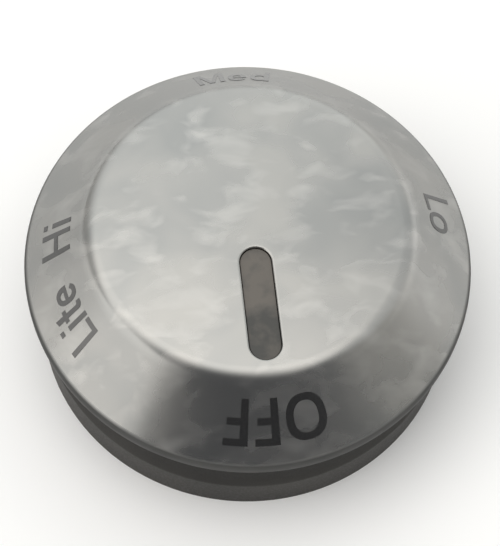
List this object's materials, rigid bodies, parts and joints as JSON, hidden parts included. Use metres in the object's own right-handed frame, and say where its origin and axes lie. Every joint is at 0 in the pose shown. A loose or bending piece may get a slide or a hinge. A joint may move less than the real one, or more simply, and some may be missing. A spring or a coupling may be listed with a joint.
{
  "type": "stove knob",
  "caption": "Round push-on stove knob: metal cap with flat face, sloping marked bevel and dark pointer bar, hemmed over a dark moulded body with skirt and D-shaped stem socket.",
  "frame": {"origin": "on the knob's axis, in the plane of the skirt's back edge", "axes": "+Z out through the face along the stem axis, -Y along the pointer towards the OFF mark, +X to the right seen from the front with the pointer down"},
  "size_m": [0.045, 0.045, 0.02],
  "materials": {
    "cap_metal": "satin, softly clouded",
    "pointer_plastic": "satin dark grey",
    "body_plastic": "fine moulded grain",
    "clip_steel": "spring steel"
  },
  "bodies": {
    "root": {"metal_cap": "cap_metal", "pointer_bar": "pointer_plastic", "knob_body": "body_plastic", "stem_clip": "clip_steel"}
  },
  "joints": []
}
